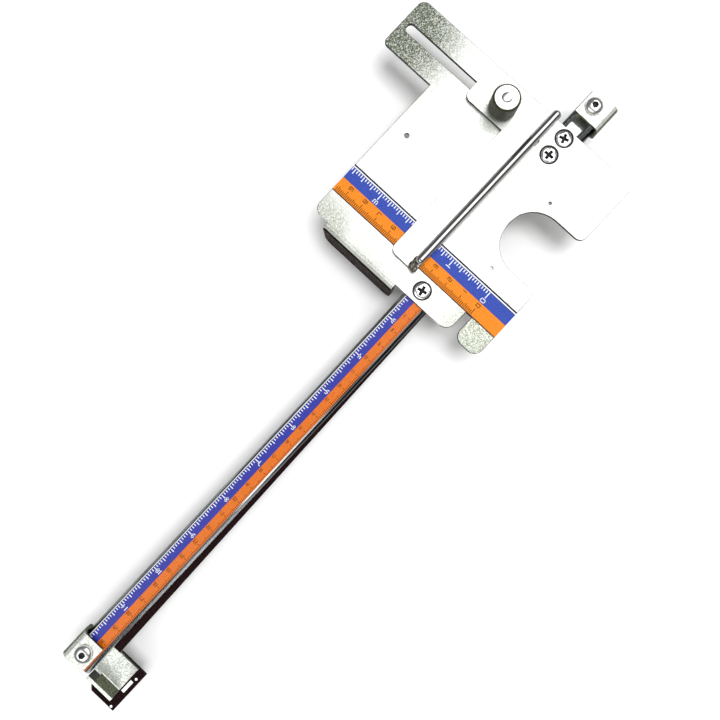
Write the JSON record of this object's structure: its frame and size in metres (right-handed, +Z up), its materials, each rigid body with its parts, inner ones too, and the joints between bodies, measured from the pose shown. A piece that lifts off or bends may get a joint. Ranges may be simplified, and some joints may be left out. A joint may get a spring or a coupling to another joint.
{
  "type": "marking gauge",
  "caption": "Flat marking gauge: slotted plate with drop fence, pipe notch and clamped slider, on a long ruled rail with a sliding end stop.",
  "frame": {"origin": "on the underside of the rail's sole, where the pipe notch's centre line crosses the line of the rail screws", "axes": "+X along the rail from the free end to the plate, +Y across the rail towards the slotted tab, +Z up from the work to the scales"},
  "size_m": [0.4122, 0.149, 0.0478],
  "materials": {
    "zinc_plate": "zinc plated sheet with a fine speckle",
    "rail_steel": "bright rolled steel",
    "bright_steel": "polished",
    "knurled_steel": "knurled, plated",
    "brass": "plain turned",
    "rubber": "dark brown, matt",
    "printed_scale": "printed film, blue and orange halves"
  },
  "bodies": {
    "gauge": {"base_plate": "zinc_plate", "fence_pad": "rubber", "plate_scale": "printed_scale", "rail": "rail_steel", "rail_sole": "rubber", "rail_scale": "printed_scale", "rail_screw_left": "bright_steel", "rail_screw_mid": "bright_steel", "rail_screw_right": "bright_steel", "rail_nut_left": "zinc_plate", "rail_nut_mid": "zinc_plate", "rail_nut_right": "zinc_plate"},
    "slider": {"fence_slider": "zinc_plate", "fence_rod": "bright_steel", "clamp_stud": "bright_steel", "clamp_washer": "zinc_plate"},
    "knob": {"clamp_knob": "knurled_steel"},
    "end_stop": {"end_stop_bracket": "zinc_plate", "end_stop_shoe": "brass", "end_stop_foot": "rubber", "foot_key": "bright_steel", "foot_pin_left": "bright_steel", "foot_pin_right": "bright_steel"},
    "end_stop_screw": {"end_stop_screw": "bright_steel"},
    "tail_clip": {"tail_clip_bracket": "zinc_plate", "tail_clip_shoe": "brass"},
    "tail_clip_screw": {"tail_clip_screw": "bright_steel"}
  },
  "joints": [
    {"name": "slider_slide", "type": "slide", "parent": "gauge", "child": "slider", "axis": [0, 1, 0], "range_m": [-0.0215, 0.0622]},
    {"name": "knob_turn", "type": "hinge", "parent": "slider", "child": "knob", "pos_m": [0.0412, 0.0344, 0.0191], "axis": [0, 0, 1], "range_deg": [0, 360]},
    {"name": "end_stop_slide", "type": "slide", "parent": "gauge", "child": "end_stop", "axis": [1, 0, 0], "range_m": [0, 0.239]},
    {"name": "end_stop_screw_turn", "type": "hinge", "parent": "end_stop", "child": "end_stop_screw", "pos_m": [-0.3112, 0, 0.0117], "axis": [0, 0, 1], "range_deg": [0, 360]},
    {"name": "tail_clip_slide", "type": "slide", "parent": "gauge", "child": "tail_clip", "axis": [1, 0, 0], "range_m": [-0.0085, 0]},
    {"name": "tail_clip_screw_turn", "type": "hinge", "parent": "tail_clip", "child": "tail_clip_screw", "pos_m": [0.0753, 0, 0.0117], "axis": [0, 0, 1], "range_deg": [0, 360]}
  ]
}
